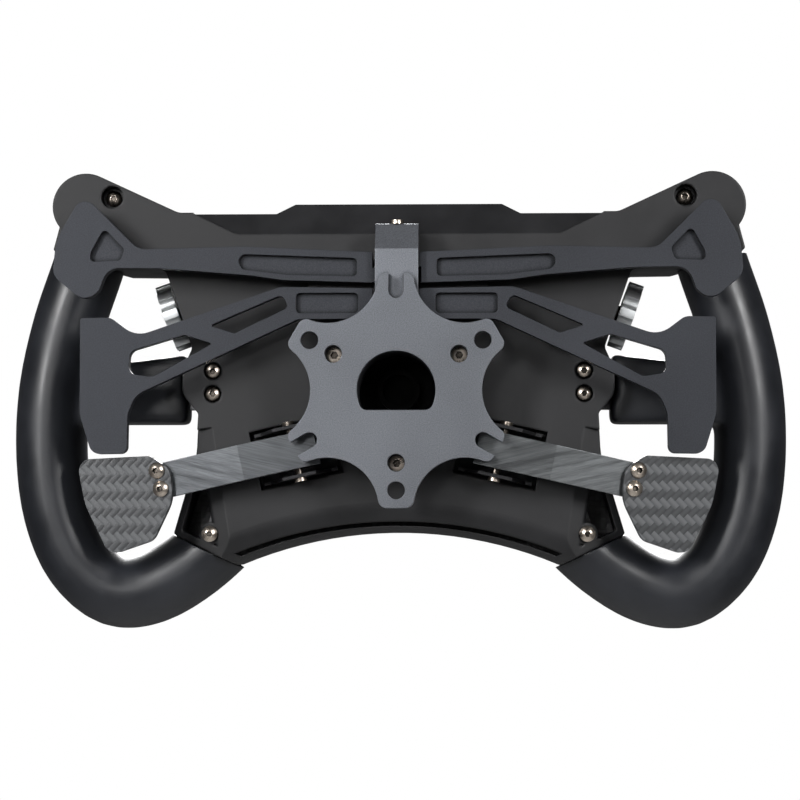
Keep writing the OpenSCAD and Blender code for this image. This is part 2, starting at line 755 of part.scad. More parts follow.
module upper_paddle(side) {
    z0 = side == 1 ? 44.2 : upper_root[0] + 0.3;
    color(charcoal) on_side(side) difference() {
        union() {
            slab(paddle_y, paddle_y + paddle_t) upper_outline();
            knuckle(z0, z0 + 5.4 - knuckle_gap);
        }
        translate([0, paddle_axis_y, z0 - 1]) cylinder(r = paddle_pin_r + run, h = 8);
        slab(paddle_y - 1, paddle_y + recess_d) {
            polygon(rounded([[103.9, 58.2, 1.6], [96.6, 50.6, 1.6], [98, 46.6, 1.6], [109, 46.2, 1.6],
                [108.6, 49.6, 1.4]]));
            polygon(rounded([[59, 48.9, 2.6], [14.1, 47.2, 1.5], [14.1, 40.8, 1.5], [38.5, 41.3, 6],
                [54.5, 43.3, 2.2]]));
        }
        magnet_pocket(1);
    }
}

module mid_paddle(side) {
    z0 = side == 1 ? 31.2 : mid_root[0] + 0.2;
    color(charcoal) on_side(side) difference() {
        union() {
            slab(paddle_y, paddle_y + paddle_t) mid_outline();
            knuckle(z0, z0 + 5.5 - knuckle_gap);
        }
        translate([0, paddle_axis_y, z0 - 1]) cylinder(r = paddle_pin_r + run, h = 8);
        slab(paddle_y - 1, paddle_y + recess_d)
            polygon(rounded([[13.6, 27.7, 1.6], [35.7, 27.7, 1.6], [35.7, 34.9, 1.6], [13.6, 34.9, 1.6]]));
        slab(paddle_y - 1, paddle_y + paddle_t + 1) {
            polygon(rounded([[65.2, 17, 0.4], [75.2, 20.2, 2], [94.5, 14.4, 3.4], [95, 6.4, 3],
                [86.4, 5.2, 3.4]]));
            polygon(rounded([[66.2, 23.4, 0.4], [57.4, 20.6, 1], [38.2, 29.8, 1.6], [40.6, 34.4, 2.2]]));
        }
        magnet_pocket(0);
    }
}

module paddle_magnet(side, row) {
    back = paddle_y + paddle_t;
    color(silver) on_side(side) post(magnet_x, magnet_rows[row], back - pocket_magnet_d, back, magnet_r);
}

// ---- Clutch levers ----

bend_u = 19;            // distance from the pin to the bend
lever_end = 36;         // length of the bent stretch
boss_u = 4.5;
pin_half = 10.4;
flange_v = 9.4;         // outer face of a bracket's flange, from the lever's middle line
flange_u = 13.4;
flange_t = 1.2;
flange_low = shell_y + 0.3;     // rear edge of the flanges beside the levers
bracket_floor = shell_y + pocket_d;
heel_u = 8.5;           // inner end of a lever, measured from its pin
wire = 0.45;            // radius of the spring's wire
spring_u = 10;
spring_r = 3;

module bent_frame(side) {
    lever_frame(side) translate([bend_u, lever_y, 0]) rotate([0, 0, lever_bend]) children();
}

pad_screw_spots = [[30, 3.9], [29.9, -2.7]];

// Side view of a lever: the flat stretch, the bent stretch, and the boss that the pin goes through
arm_tip = [bend_u + lever_end * cos(lever_bend), lever_y + lever_end * sin(lever_bend)];
arm_profile = concat(
    [[-heel_u, lever_y], [bend_u, lever_y], arm_tip,
        arm_tip + lever_t * [-sin(lever_bend), cos(lever_bend)],
        [bend_u - lever_t * tan(lever_bend / 2), lever_y + lever_t], [boss_u, lever_y + lever_t]],
    arc([0, lever_pin_y], boss_u, 0, 180, 16),
    [[-boss_u, lever_y + lever_t], [-heel_u, lever_y + lever_t]]);

module clutch_arm(side) {
    color(charcoal) difference() {
        lever_frame(side) translate([0, 0, -lever_w / 2]) linear_extrude(lever_w) polygon(arm_profile);
        lever_frame(side) translate([0, lever_pin_y, -10]) cylinder(r = lever_pin_r + run, h = 20);
        bent_frame(side) for (p = pad_screw_spots) post(p[0], p[1], -1, lever_t + 1, mm3_screw + run);
    }
}

module clutch_pad(side) {
    color(carbon) bent_frame(side) difference() {
        slab(-pad_t, 0) polygon(rounded([[31.6, 9.6, 2.5], [25.2, 3.6, 6], [26.4, -7.4, 14], [36.6, -20, 5],
            [53.6, -21.8, 5], [58.6, -2, 20], [58.2, 14.2, 4.5]]));
        for (p = pad_screw_spots) post(p[0], p[1], -pad_t - 1, 1, mm3_screw + run);
    }
}

module clutch_pad_screws(side) {
    color(steel) bent_frame(side) for (p = pad_screw_spots)
        rear_screw(p[0], p[1], -pad_t - button_head_h, lever_t + 0.6);
}

module clutch_bracket(side) {
    color(charcoal) lever_frame(side) difference() {
        union() {
            translate([-flange_u, bracket_floor - flange_t, -flange_v])
                cube([2 * flange_u, flange_t, 2 * flange_v]);
            for (v = [-flange_v, flange_v - flange_t]) translate([0, 0, v]) linear_extrude(flange_t)
                polygon([[-flange_u, bracket_floor], [-flange_u, flange_low], [2.5 - flange_u, flange_low],
                    [-6, lever_pin_y - 3.2], [6, lever_pin_y - 3.2], [flange_u - 2.5, flange_low],
                    [flange_u, flange_low], [flange_u, bracket_floor]]);
        }
        translate([0, lever_pin_y, -12]) cylinder(r = lever_pin_r, h = 24);
    }
}

module clutch_pin(side) {
    color(steel) lever_frame(side) {
        translate([0, lever_pin_y, -pin_half]) cylinder(r = lever_pin_r, h = 2 * pin_half);
        for (v = [-pin_half - 0.4, flange_v]) translate([0, lever_pin_y, v])
            cylinder(r = 2.2, h = pin_half + 0.4 - flange_v);
    }
}

// Coil of round wire between the lever and the bracket, its axis along Y
module clutch_spring(side) {
    low = lever_y + lever_t;
    high = bracket_floor - flange_t;
    turns = 5;
    steps = 14;
    ring = 6;
    count = turns * steps;
    rise = (high - low - 2 * wire) / count;
    points = [for (i = [0:count], k = [0:ring - 1])
        let(a = 360 * i / steps, b = 360 * k / ring, r = spring_r - wire + wire * cos(b))
        [spring_u + r * cos(a), low + wire + rise * i + wire * sin(b), r * sin(a)]];
    color(silver) lever_frame(side) polyhedron(points, concat(
        [[for (k = [0:ring - 1]) k]],
        [for (i = [0:count - 1], k = [0:ring - 1])
            let(next = (k + 1) % ring)
            [i * ring + k, (i + 1) * ring + k, (i + 1) * ring + next, i * ring + next]],
        [[for (k = [ring - 1:-1:0]) count * ring + k]]));
}

// Small sensor boards on the core frame's rear face, under the levers and the paddles
sensor_w = 14;
module lever_sensors() {
    color("darkgreen") for (s = [-1, 1]) {
        translate([s * 34 - sensor_w / 2, core_y - board_t, 39]) cube([sensor_w, board_t, 10]);
        translate([s * 50 - sensor_w / 2, core_y - board_t, -40]) cube([sensor_w, board_t, 8]);
    }
}

// ---- Thumb wheels ----

lobes = 10;
lobe_r = 2.9;           // radius of the hollow between two lobes
lobe_out = 1.6;         // how far that hollow's centre lies outside the wheel
module thumb_wheel(side) {
    color(silver) thumb_frame(side) difference() {
        translate([0, 0, -thumb_t / 2]) cylinder(r = thumb_r, h = thumb_t, $fn = 96);
        for (k = [1:lobes]) rotate(360 / lobes * k) translate([thumb_r + lobe_out, 0, -thumb_t])
            cylinder(r = lobe_r, h = 2 * thumb_t);
        translate([0, 0, -thumb_t]) cylinder(r = thumb_shaft_r, h = 2 * thumb_t);
    }
}

encoder_out = thumb_t / 2 + thumb_gap + wall + 0.3;
encoder_w = 12;
encoder_t = 7;
shaft_in = 5;           // how far the shaft reaches into its encoder
module thumb_shaft(side) {
    color(steel) thumb_frame(side) translate([0, 0, -encoder_out - shaft_in])
        cylinder(r = thumb_shaft_r, h = encoder_out + shaft_in + thumb_t / 2);
}

module thumb_encoders() {
    color(black_shell) for (side = [-1, 1]) thumb_frame(side) difference() {
        translate([-encoder_w / 2, -encoder_w / 2, -encoder_out - encoder_t])
            cube([encoder_w, encoder_w, encoder_t]);
        translate([0, 0, -encoder_out - shaft_in - 0.2])
            cylinder(r = thumb_shaft_r + run, h = encoder_t + 1);
    }
}

// ---- Front controls ----

button_spots = [[50, 50], [32, 50], [50, 32], [50, 14]];
knob_at = [36, -20];
bushing_r = 4.5;
knob_shaft_r = 3;
knob_cap = 3;           // thickness of a knob above its shaft
flutes = 12;
switch_w = 8;
rotary_w = 13;
button_back = face_y - 1.7;

module button(side, number) {
    p = button_spots[number - 1];
    color("dimgray") on_side(side) {
        post(p[0], p[1], button_back, front_y + 3, button_r);
        post(p[0], p[1], button_back, face_y - 0.3, button_r + 0.8);
    }
}

module button_bezels() {
    color(black_shell) for (s = [-1, 1], p = button_spots) difference() {
        post(s * p[0], p[1], front_y, front_y + 1.5, button_r + 2);
        post(s * p[0], p[1], front_y - 1, front_y + 2, button_r + 0.3);
    }
}

module switch_bodies() {
    top = board_y + board_t;
    color("black") for (s = [-1, 1], p = button_spots)
        translate([s * p[0] - switch_w / 2, top, p[1] - switch_w / 2])
            cube([switch_w, button_back - 0.2 - button_travel - top, switch_w]);
}

module main_board() {
    color("darkgreen") difference() {
        slab(board_y, board_y + board_t)
            polygon(rounded([[-58, -32, 3], [58, -32, 3], [58, 57, 3], [-58, 57, 3]]));
        slab(board_y - 1, board_y + board_t + 1) circle(r = d_open_r + 1);
        for (a = hole_angles) ring_post(inner_at, a, board_y - 1, board_y + 3, 2 * mm4_screw);
        for (s = [-1, 1]) post(s * knob_at[0], knob_at[1], board_y - 1, board_y + 3, knob_shaft_r + 0.4);
    }
}

module rotary_encoders() {
    color("black") for (s = [-1, 1]) difference() {
        union() {
            translate([s * knob_at[0] - rotary_w / 2, board_y + board_t, knob_at[1] - rotary_w / 2])
                cube([rotary_w, face_y - 0.3 - board_y - board_t, rotary_w]);
            post(s * knob_at[0], knob_at[1], face_y - 0.3 - eps, front_y + 0.3, bushing_r);
        }
        post(s * knob_at[0], knob_at[1], board_y, front_y + 1, knob_shaft_r + run);
    }
}

module rotary_shaft(side) {
    color(steel) on_side(side)
        post(knob_at[0], knob_at[1], board_y + board_t + 0.5, front_y + knob_h - knob_cap, knob_shaft_r);
}

module rotary_knob(side) {
    color(charcoal) on_side(side) difference() {
        post(knob_at[0], knob_at[1], front_y + 0.8, front_y + knob_h, knob_r);
        post(knob_at[0], knob_at[1], front_y, front_y + knob_h - knob_cap, knob_shaft_r);
        translate([knob_at[0], 0, knob_at[1]]) for (k = [1:flutes])
            ring_post(knob_r + 0.6, 360 / flutes * k, front_y, front_y + knob_h + 1, 1.3);
    }
}

// Round socket for the coiled lead of a wheel base, deep in the D-shaped opening
socket_r = 7.5;
socket_bore_r = 5.8;
socket_z = 1.5;
module data_socket() {
    color(black_shell) difference() {
        union() {
            post(0, socket_z, core_y - 8, core_y, socket_r);
            slab(core_y - 0.8, core_y) circle(r = d_open_r);
        }
        post(0, socket_z, core_y - 9, core_y - 2, socket_bore_r);
    }
}

hub_plate();
hub_spacer();
plate_screws();
hub_screws();
paddle_spine();
spine_screws();
paddle_block();
paddle_pin();
block_magnets();
rear_shell();
faceplate();
core_frame();
grip(1);  // left_grip
grip(-1);  // right_grip
shell_screws();
front_screws();
upper_paddle(1);  // upper_paddle_left
upper_paddle(-1);  // upper_paddle_right
mid_paddle(1);  // mid_paddle_left
mid_paddle(-1);  // mid_paddle_right
paddle_magnet(1, 1);  // upper_magnet_left
paddle_magnet(-1, 1);  // upper_magnet_right
paddle_magnet(1, 0);  // mid_magnet_left
paddle_magnet(-1, 0);  // mid_magnet_right
clutch_arm(1);  // clutch_arm_left
clutch_arm(-1);  // clutch_arm_right
clutch_pad(1);  // clutch_pad_left
clutch_pad(-1);  // clutch_pad_right
clutch_pad_screws(1);  // clutch_pad_screws_left
clutch_pad_screws(-1);  // clutch_pad_screws_right
clutch_bracket(1);  // clutch_bracket_left
clutch_bracket(-1);  // clutch_bracket_right
clutch_pin(1);  // clutch_pin_left
clutch_pin(-1);  // clutch_pin_right
clutch_spring(1);  // clutch_spring_left
clutch_spring(-1);  // clutch_spring_right
lever_sensors();
thumb_wheel(1);  // thumb_wheel_left
thumb_wheel(-1);  // thumb_wheel_right
thumb_shaft(1);  // thumb_shaft_left
thumb_shaft(-1);  // thumb_shaft_right
thumb_encoders();
button(1, 1);  // button_1_left
button(1, 2);  // button_2_left
button(1, 3);  // button_3_left
button(1, 4);  // button_4_left
button(-1, 1);  // button_1_right
button(-1, 2);  // button_2_right
button(-1, 3);  // button_3_right
button(-1, 4);  // button_4_right
button_bezels();
switch_bodies();
main_board();
rotary_knob(1);  // rotary_knob_left
rotary_knob(-1);  // rotary_knob_right
rotary_shaft(1);  // rotary_shaft_left
rotary_shaft(-1);  // rotary_shaft_right
rotary_encoders();
data_socket();
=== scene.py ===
"""Sim-racing wheel: finished metal, carbon, rubber and moulded pieces around its CAD frame."""

import json
import math

import bpy
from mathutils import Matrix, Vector

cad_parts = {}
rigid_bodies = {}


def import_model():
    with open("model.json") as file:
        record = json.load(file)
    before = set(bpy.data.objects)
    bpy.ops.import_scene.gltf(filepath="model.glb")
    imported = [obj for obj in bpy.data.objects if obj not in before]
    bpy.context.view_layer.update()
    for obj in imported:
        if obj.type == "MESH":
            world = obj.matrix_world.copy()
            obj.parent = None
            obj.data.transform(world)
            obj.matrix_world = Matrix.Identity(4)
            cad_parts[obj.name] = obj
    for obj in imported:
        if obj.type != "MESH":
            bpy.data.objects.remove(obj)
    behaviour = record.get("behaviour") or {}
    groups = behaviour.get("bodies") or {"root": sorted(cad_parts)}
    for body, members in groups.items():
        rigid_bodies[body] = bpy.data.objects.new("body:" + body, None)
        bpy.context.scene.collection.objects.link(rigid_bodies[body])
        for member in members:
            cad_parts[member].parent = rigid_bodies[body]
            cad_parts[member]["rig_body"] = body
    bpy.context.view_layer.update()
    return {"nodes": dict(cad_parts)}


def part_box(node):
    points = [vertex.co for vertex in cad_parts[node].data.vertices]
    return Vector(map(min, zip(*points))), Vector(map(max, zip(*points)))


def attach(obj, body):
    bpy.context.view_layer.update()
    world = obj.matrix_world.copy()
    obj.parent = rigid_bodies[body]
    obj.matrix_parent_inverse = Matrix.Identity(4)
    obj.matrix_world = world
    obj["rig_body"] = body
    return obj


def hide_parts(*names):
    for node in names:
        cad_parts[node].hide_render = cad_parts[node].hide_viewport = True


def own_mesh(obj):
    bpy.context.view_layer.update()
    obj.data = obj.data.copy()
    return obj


bl_info = {
    "name": "Racing wheel",
    "version": (1, 0, 0),
    "blender": (4, 5, 0),
    "location": "View3D > Sidebar > Racing wheel",
    "description": "Builds the finished pieces of a sim-racing wheel around its CAD frame",
    "category": "Object",
}

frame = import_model()
MM = 0.001
SIDES = ("left", "right")
BUTTONS_PER_SIDE = 4

# Middle line of the left grip as (x, z) in millimetres, from the horn round to the shell's lower corner
GRIP_LINE = [
    (108.6, 68), (113.6, 49), (121.2, 26), (126.2, 2), (127, -22), (124, -43), (116.5, -60),
    (103.8, -70.6), (89.5, -69.6), (74, -60.4), (60, -47.5), (50, -37),
]

# Both ends of the left grip's lower and upper seam with the shell, also as (x, z) in millimetres
SEAM_LOW = [(57.7, -61.4), (81.3, -50.2)]
SEAM_HIGH = [(99.4, 44.8), (124.2, 51.6)]

# Outline of the block that joins the left grip to the shell's ear, also as (x, z) in millimetres
SPOKE_OUTLINE = [
    (77.9, 0), (76.4, -1.8), (76.4, -10.2), (121, -10.2), (121, 11.5),
    (97, 12.4), (76.4, 14.8), (76.4, 12.4), (77.9, 10),
]

# The grip's other sizes, in millimetres
GRIP_WIDTH = 26  # across the tube, in the wheel's plane
GRIP_LEAD = 4  # the tube starts this far above its line, so that the upper seam cuts all of it
SEAM_GAP = 0.3
SEAM_RIM = 0.6
SPOKE_START = 30.2  # in depth, from the hub plate's face
SPOKE_DEPTH = 18.6
SPOKE_ROUND = 2.2

GRIP_SIDES = 40
STEPS_PER_POINT = 4
ON_SEAM = 2e-5  # how near to the seam's plane, in metres, a face counts as lying on it
ARM_LEAN = math.radians(12.5)

# The studio, in metres and watts
FLOOR_LEVEL = -0.6
FLOOR_GLOW = 0.45
WORLD_LEVEL = 0.07
LIGHT_SPREAD = math.radians(45)

# Name, place, target, width, height, power
LIGHTS = (
    ("strip_left", (-0.95, -1.15, 0.5), (-0.08, 0, 0.04), 0.3, 0.7, 1.9),
    ("strip_right", (0.95, -1.15, 0.5), (0.08, 0, 0.04), 0.3, 0.7, 1.6),
    ("front", (-0.35, -1.5, 0.25), (-0.02, 0, 0.03), 0.3, 0.25, 0.16),
    ("back_fill", (0, 1.2, 0.6), (0, 0, 0), 1.2, 0.9, 6),
)

CAMERA_PLACE = (0.029, -0.9, -0.052)
CAMERA_AIM = (0.0014, 0, -0.0035)
CAMERA_LENS = 116.3
SENSOR_WIDTH = 36


# ---- Sizes and colours that a user would change ----


class WheelSizes(bpy.types.PropertyGroup):
    machined_edge: bpy.props.FloatProperty(
        name="Machined edge", description="Width of the broken edge on milled parts",
        default=0.3 * MM, unit="LENGTH", precision=5,
    )
    moulded_edge: bpy.props.FloatProperty(
        name="Moulded edge", description="Radius along the edges of moulded parts",
        default=1 * MM, unit="LENGTH", precision=5,
    )
    grip_voxel: bpy.props.FloatProperty(
        name="Grip detail", description="Size of the cells that blend a grip with its spoke",
        default=1.1 * MM, unit="LENGTH", precision=5,
    )
    tow: bpy.props.FloatProperty(
        name="Carbon tow", description="Width of one carbon tow in the twill",
        default=2.1 * MM, unit="LENGTH", precision=5,
    )


class WheelColours(bpy.types.PropertyGroup):
    hub: bpy.props.FloatVectorProperty(
        name="Hub plate", description="Anodised colour of the hub plate",
        subtype="COLOR", default=(0.13, 0.137, 0.152), min=0, max=1,
    )
    paddle: bpy.props.FloatVectorProperty(
        name="Paddles", description="Anodised colour of the gear paddles",
        subtype="COLOR", default=(0.032, 0.034, 0.04), min=0, max=1,
    )
    shell: bpy.props.FloatVectorProperty(
        name="Shell", description="Colour of the moulded shell",
        subtype="COLOR", default=(0.008, 0.008, 0.009), min=0, max=1,
    )
    grip: bpy.props.FloatVectorProperty(
        name="Grips", description="Colour of the rubber grips",
        subtype="COLOR", default=(0.010, 0.011, 0.014), min=0, max=1,
    )


def sizes():
    return bpy.context.scene.wheel_sizes


def colours():
    return bpy.context.scene.wheel_colours


# ---- Materials ----


class Finish:
    """A material under construction: its node tree, its shader and short ways to add to them."""

    def __init__(self, name, colour, metallic=0.0, roughness=0.5, **sockets):
        self.material = bpy.data.materials.new(name)
        self.material.use_nodes = True
        self.tree = self.material.node_tree
        self.shader = self.tree.nodes["Principled BSDF"]
        self.set(self.shader, {"Base Color": (*colour, 1), "Metallic": metallic, "Roughness": roughness})
        self.set(self.shader, sockets)
        self.place = self.tree.nodes.new("ShaderNodeTexCoord").outputs["Object"]

    def set(self, node, values):
        """Gives a node's inputs their values, or links them to other nodes."""
        for socket, value in values.items():
            target = node.inputs[socket]
            if isinstance(value, bpy.types.NodeSocket):
                self.tree.links.new(value, target)
            else:
                target.default_value = value
        return node

    def add(self, kind, values=None, **settings):
        """A new node with its settings and its inputs."""
        node = self.tree.nodes.new("ShaderNode" + kind)
        for name, value in settings.items():
            setattr(node, name, value)
        return self.set(node, values or {})

    def mapped(self, scale=(1, 1, 1), turn=(0, 0, 0), vector=None):
        """Object coordinates, turned and scaled."""
        values = {"Vector": vector or self.place, "Rotation": turn, "Scale": scale}
        return self.add("Mapping", values).outputs[0]

    def noise(self, scale, detail=3.0, rough=0.5, vector=None):
        """A noise factor with a scale in cells per metre."""
        values = {"Vector": vector or self.place, "Scale": scale, "Detail": detail, "Roughness": rough}
        return self.add("TexNoise", values).outputs["Fac"]

    def math(self, operation, a, b=0.0, c=0.0):
        return self.add("Math", {0: a, 1: b, 2: c}, operation=operation).outputs[0]

    def ramp(self, factor, low, high, from_low=0.0, from_high=1.0):
        """A number that goes from low to high as the factor goes over its range."""
        values = {"Value": factor, "From Min": from_low, "From Max": from_high, "To Min": low, "To Max": high}
        return self.add("MapRange", values).outputs[0]

    def contrast(self, factor, low, high):
        """A factor whose part between low and high is stretched over 0 to 1."""
        return self.ramp(factor, 0.0, 1.0, low, high)

    def blend(self, factor, a, b):
        """A colour between two others."""
        node = self.add("Mix", data_type="RGBA")
        for socket, value in ((node.inputs[0], factor), (node.inputs[6], a), (node.inputs[7], b)):
            if isinstance(value, bpy.types.NodeSocket):
                self.tree.links.new(value, socket)
            else:
                socket.default_value = (*value, 1)
        return node.outputs[2]

    def painted_recess_shade(self, colour, shade_reach, depth):
        """The same colour with painted shade, darkened in corners and recesses that are narrower than the
        reach.
        """
        open_share = self.add("AmbientOcclusion", {"Distance": shade_reach}, samples=8).outputs["AO"]
        return self.blend(self.ramp(open_share, depth, 0.0, 0.35, 0.95), colour, (0.0, 0.0, 0.0))

    def bump(self, height, strength, distance, edge=0.0):
        """A bumpy surface whose edges are rounded to a radius."""
        values = {"Height": height, "Strength": strength, "Distance": distance}
        if edge:
            values["Normal"] = self.add("Bevel", {"Radius": edge}, samples=6).outputs[0]
        return self.add("Bump", values).outputs[0]

    def finish(self, **sockets):
        """The material, after the shader's last inputs are set."""
        self.set(self.shader, sockets)
        return self.material


def shade(colour, factor):
    """A colour made lighter or darker."""
    return tuple(min(1.0, c * factor) for c in colour)


def blasted_anodised(name, colour, roughness, metallic=0.7):
    """Bead-blasted aluminium under an anodised layer: fine grain, faint cloudiness."""
    f = Finish(name, colour, metallic=metallic, roughness=roughness)
    cloud = f.noise(25, 3)
    grain = f.noise(2600, 2, 0.7)
    mixed = f.math("MULTIPLY_ADD", grain, 0.8, f.math("MULTIPLY", cloud, 0.2))
    tint = f.blend(f.contrast(mixed, 0.35, 0.65), shade(colour, 0.75), shade(colour, 1.28))
    return f.finish(**{
        # Base colour: grain tint with painted shade in corners and recesses.
        "Base Color": f.painted_recess_shade(tint, 2 * MM, 0.9),
        "Roughness": f.ramp(cloud, roughness - 0.04, roughness + 0.05, 0.3, 0.7),
        "Normal": f.bump(grain, 0.3, 0.03 * MM, sizes().machined_edge),
    })


def brushed(name, colour, angle):
    """Aluminium brushed along a direction that leans by an angle from X in the XZ plane."""
    f = Finish(name, colour, metallic=0.9, roughness=0.36)
    along = f.mapped(turn=(0, angle, 0))
    streaks = f.noise(1, 3, 0.65, f.mapped(scale=(60, 900, 2600), vector=along))
    broad = f.noise(1, 2, 0.5, f.mapped(scale=(12, 100, 500), vector=along))
    tint = f.blend(f.contrast(streaks, 0.25, 0.75), shade(colour, 0.7), shade(colour, 1.45))
    return f.finish(**{
        # Base colour: brushing streaks with painted shade in corners and recesses.
        "Base Color": f.painted_recess_shade(tint, 2 * MM, 0.7),
        "Roughness": f.ramp(broad, 0.28, 0.46, 0.3, 0.7),
        "Normal": f.bump(streaks, 0.5, 0.04 * MM, sizes().machined_edge),
    })


def turned_steel(name, colour, roughness, stain_scale=500, shade_reach=2.5 * MM):
    """Bare or plated metal, with painted shade inside its sockets and holes."""
    f = Finish(name, colour, metallic=1.0, roughness=roughness)
    stain = f.noise(stain_scale, 3)
    tint = f.blend(f.contrast(stain, 0.35, 0.65), shade(colour, 0.85), shade(colour, 1.1))
    return f.finish(**{
        # Base colour: stain tint with painted shade inside sockets and holes.
        "Base Color": f.painted_recess_shade(tint, shade_reach, 0.95),
        "Roughness": f.ramp(stain, roughness - 0.06, roughness + 0.1, 0.3, 0.7),
        "Normal": f.bump(f.noise(6000, 2), 0.15, 0.02 * MM, 0.15 * MM),
    })


def moulded(
    name, colour, roughness, grain_scale=2600, grain_depth=0.3, edge=0.0, gloss=0.5, shade_reach=3 * MM,
):
    """Moulded plastic or rubber with a fine texture and faint handling marks."""
    f = Finish(name, colour, roughness=roughness, **{"Specular IOR Level": gloss})
    grain = f.noise(grain_scale, 3, 0.6)
    marks = f.noise(45, 5, 0.6)
    tint = f.blend(f.contrast(marks, 0.3, 0.7), shade(colour, 0.75), shade(colour, 1.35))
    return f.finish(**{
        # Base colour: handling-mark tint with painted shade in corners, recesses and gaps.
        "Base Color": f.painted_recess_shade(tint, shade_reach, 0.95),
        "Roughness": f.ramp(marks, roughness - 0.05, roughness + 0.07, 0.35, 0.65),
        "Normal": f.bump(grain, grain_depth, 0.04 * MM, edge),
    })


def carbon_twill(name, dark, light, tow, roughness, turn, coat=0.0):
    """Two-by-two carbon twill in the XZ plane, with painted sheen on the tows."""
    f = Finish(name, dark, metallic=0.35, roughness=roughness, **{"Coat Weight": coat, "Coat Roughness": 0.12})
    split = f.add("SeparateXYZ", {"Vector": f.mapped(scale=(1 / tow,) * 3, turn=(0, turn, 0))})
    across, up = split.outputs["X"], split.outputs["Z"]
    step = f.math("ADD", f.math("FLOOR", across), f.math("FLOOR", up))
    over = f.math("LESS_THAN", f.math("MODULO", f.math("ADD", f.math("MODULO", step, 4.0), 4.0), 4.0), 2.0)

    def crown(value):
        """The rounded height across one tow."""
        inside = f.math("SUBTRACT", f.math("FRACT", value), 0.5)
        return f.math("SUBTRACT", 1.0, f.math("MULTIPLY", f.math("MULTIPLY", inside, inside), 4.0))

    warp, weft = crown(across), crown(up)
    under = f.math("SUBTRACT", 1.0, over)
    height = f.math("ADD", f.math("MULTIPLY", over, warp), f.math("MULTIPLY", under, weft))
    fibres = f.noise(1, 2, 0.6, f.mapped(scale=(9000, 9000, 900), turn=(0, turn, 0)))
    # Painted sheen: the tows that lie over and the crown of each tow are lighter; the fibre noise adds grain.
    level = f.math("ADD", f.math("MULTIPLY", over, 0.55), f.math("MULTIPLY", height, 0.3))
    level = f.math("ADD", level, f.math("MULTIPLY", fibres, 0.15))
    return f.finish(**{
        "Base Color": f.blend(level, dark, light),
        "Roughness": f.ramp(over, roughness - 0.06, roughness + 0.08),
        "Normal": f.bump(height, 0.35, 0.12 * MM, sizes().machined_edge),
    })


def make_finishes():
    """Every finish of the wheel, by name."""
    c = colours()
    hub, paddle, shell, grip = (tuple(v) for v in (c.hub, c.paddle, c.shell, c.grip))
    machined, rounded, tow = sizes().machined_edge, sizes().moulded_edge, sizes().tow
    return {
        "hub": blasted_anodised("hub_anodised", hub, 0.4),
        "spine": blasted_anodised("spine_anodised", shade(hub, 1.3), 0.36),
        "paddle": blasted_anodised("paddle_anodised", paddle, 0.5),
        "spacer": blasted_anodised("spacer_anodised", (0.008, 0.008, 0.009), 0.55, metallic=0.2),
        "bracket": blasted_anodised("bracket_anodised", (0.03, 0.03, 0.032), 0.4),
        "core": blasted_anodised("core_anodised", (0.3, 0.3, 0.31), 0.45),
        # The two arms share one aluminium; the left arm's lighter colour is painted light and the right arm's
        # darker colour painted shade.
        "arm_left": brushed("arm_brushed_left", (0.12, 0.126, 0.13), ARM_LEAN),
        "arm_right": brushed("arm_brushed_right", (0.1, 0.105, 0.112), -ARM_LEAN),
        "screw": turned_steel("screw_steel", (0.56, 0.49, 0.42), 0.28),
        "spring": turned_steel("spring_wire", (0.5, 0.5, 0.5), 0.3),
        "magnet": turned_steel("magnet_nickel", (0.62, 0.61, 0.6), 0.2),
        "thumb": turned_steel("thumb_silver", (0.72, 0.74, 0.75), 0.38, 60),
        # The shell's 5 mm reach paints wider shade into its recesses and seams.
        "shell": moulded("shell_black", shell, 0.48, 3200, 0.25, rounded, 0.4, 5 * MM),
        "grip": moulded("grip_rubber", grip, 0.38, 2400, 0.35),
        "button": moulded("button_grey", (0.05, 0.05, 0.055), 0.4, edge=rounded),
        "socket": moulded("socket_black", (0.002, 0.002, 0.002), 0.7, gloss=0.1),
        "component": moulded("component_black", (0.006, 0.006, 0.006), 0.45, edge=machined),
        "board": moulded("circuit_green", (0.01, 0.09, 0.04), 0.35),
        "pad": carbon_twill(
            "pad_twill", (0.025, 0.026, 0.028), (0.085, 0.088, 0.092), tow, 0.42, math.radians(45),
        ),
        "face": carbon_twill(
            "face_twill", (0.012, 0.012, 0.013), (0.06, 0.06, 0.062), tow, 0.35, 0.0, 0.4,
        ),
    }


finishes = {}


# ---- Modelling helpers ----


def deselect():
    """Leaves edit mode and selects nothing."""
    if bpy.context.object and bpy.context.object.mode != "OBJECT":
        bpy.ops.object.mode_set(mode="OBJECT")
    bpy.ops.object.select_all(action="DESELECT")


def activate(obj):
    deselect()
    obj.select_set(True)
    bpy.context.view_layer.objects.active = obj


def edit(obj):
    """Opens a piece for editing with all of it selected."""
    activate(obj)
    bpy.ops.object.mode_set(mode="EDIT")
    bpy.ops.mesh.select_all(action="SELECT")


def done():
    bpy.ops.object.mode_set(mode="OBJECT")


def modify(obj, kind, **settings):
    """Adds a modifier to a piece and applies it."""
    activate(obj)
    modifier = obj.modifiers.new(kind.title(), kind)
    for name, value in settings.items():
        setattr(modifier, name, value)
    bpy.ops.object.modifier_apply(modifier=modifier.name)


def face_outwards():
    """Turns all faces of the piece being edited outwards and leaves edit mode."""
    bpy.ops.mesh.select_all(action="SELECT")
    bpy.ops.mesh.normals_make_consistent(inside=False)
    done()


def pick(obj, test):
    """Opens a piece for editing with only the faces selected whose centre passes a test."""
    edit(obj)
    bpy.ops.mesh.select_all(action="DESELECT")
    bpy.ops.mesh.select_mode(type="FACE")
    done()
    for face in obj.data.polygons:
        face.select = test(face.center)
    bpy.ops.object.mode_set(mode="EDIT")


